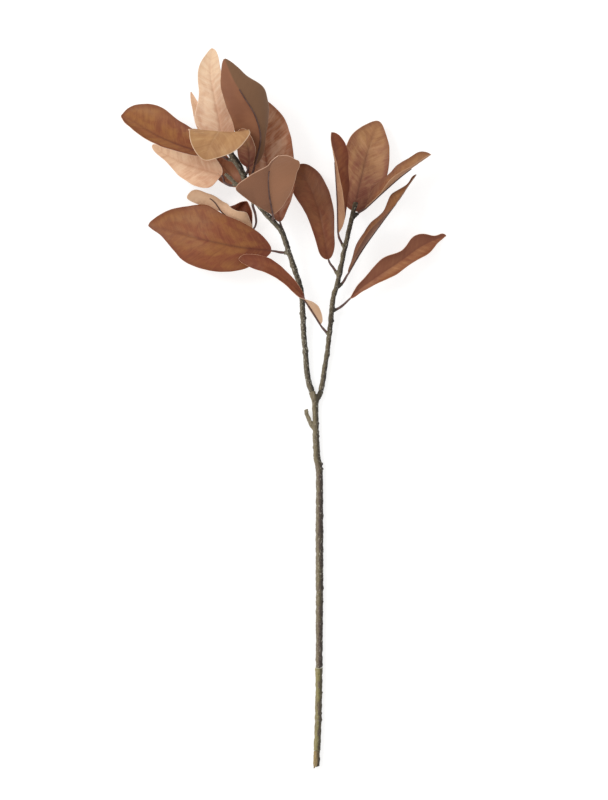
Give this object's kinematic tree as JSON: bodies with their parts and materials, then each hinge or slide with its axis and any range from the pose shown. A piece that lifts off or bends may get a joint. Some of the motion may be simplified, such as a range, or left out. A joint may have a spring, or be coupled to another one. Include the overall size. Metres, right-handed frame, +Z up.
{
  "type": "artificial magnolia branch",
  "caption": "Artificial magnolia branch lying flat: a forked stem in three lengths with brown fabric leaves on moulded stalks.",
  "frame": {"origin": "On the surface that the branch lies on, under the middle of the whole branch.", "axes": "+Y along the stem from its cut end towards the leaves, +X to the right seen from above, +Z up."},
  "size_m": [0.4054, 0.8943, 0.1305],
  "materials": {
    "stem_bark": "matt moulded bark, olive grey with purple-grey patches",
    "sleeve_green": "matt moulded bark, olive green",
    "stem_core": "rough tan, cut across at the end",
    "twig_bark": "matt moulded bark, dark olive brown",
    "leaf_brown": "printed fabric, brown with ochre veins above and pale suede below",
    "leaf_pale": "printed fabric, pale peach with brown mottles",
    "leaf_tan": "printed fabric, tan and ochre with a pale cut rim",
    "stalk": "satin moulded plastic over wire, dark purple brown"
  },
  "bodies": {
    "root": {"upper_stem": "stem_bark", "lower_stem": "sleeve_green", "stem_end": "stem_core", "left_twig": "twig_bark", "right_twig": "twig_bark", "left_leaf_01_blade": "leaf_brown", "left_leaf_01_stalk": "stalk", "left_leaf_02_blade": "leaf_brown", "left_leaf_02_stalk": "stalk", "left_leaf_03_blade": "leaf_brown", "left_leaf_03_stalk": "stalk", "left_leaf_04_blade": "leaf_brown", "left_leaf_04_stalk": "stalk", "left_leaf_05_blade": "leaf_brown", "left_leaf_05_stalk": "stalk", "left_leaf_06_blade": "leaf_brown", "left_leaf_06_stalk": "stalk", "left_leaf_07_blade": "leaf_brown", "left_leaf_07_stalk": "stalk", "left_leaf_08_blade": "leaf_pale", "left_leaf_08_stalk": "stalk", "left_leaf_09_blade": "leaf_brown", "left_leaf_09_stalk": "stalk", "left_leaf_10_blade": "leaf_pale", "left_leaf_10_stalk": "stalk", "left_leaf_11_blade": "leaf_pale", "left_leaf_11_stalk": "stalk", "left_leaf_12_blade": "leaf_tan", "left_leaf_12_stalk": "stalk", "right_leaf_01_blade": "leaf_brown", "right_leaf_01_stalk": "stalk", "right_leaf_02_blade": "leaf_brown", "right_leaf_02_stalk": "stalk", "right_leaf_03_blade": "leaf_brown", "right_leaf_03_stalk": "stalk", "right_leaf_04_blade": "leaf_brown", "right_leaf_04_stalk": "stalk", "right_leaf_05_blade": "leaf_brown", "right_leaf_05_stalk": "stalk", "right_leaf_06_blade": "leaf_brown", "right_leaf_06_stalk": "stalk", "right_leaf_07_blade": "leaf_brown", "right_leaf_07_stalk": "stalk"}
  },
  "joints": []
}
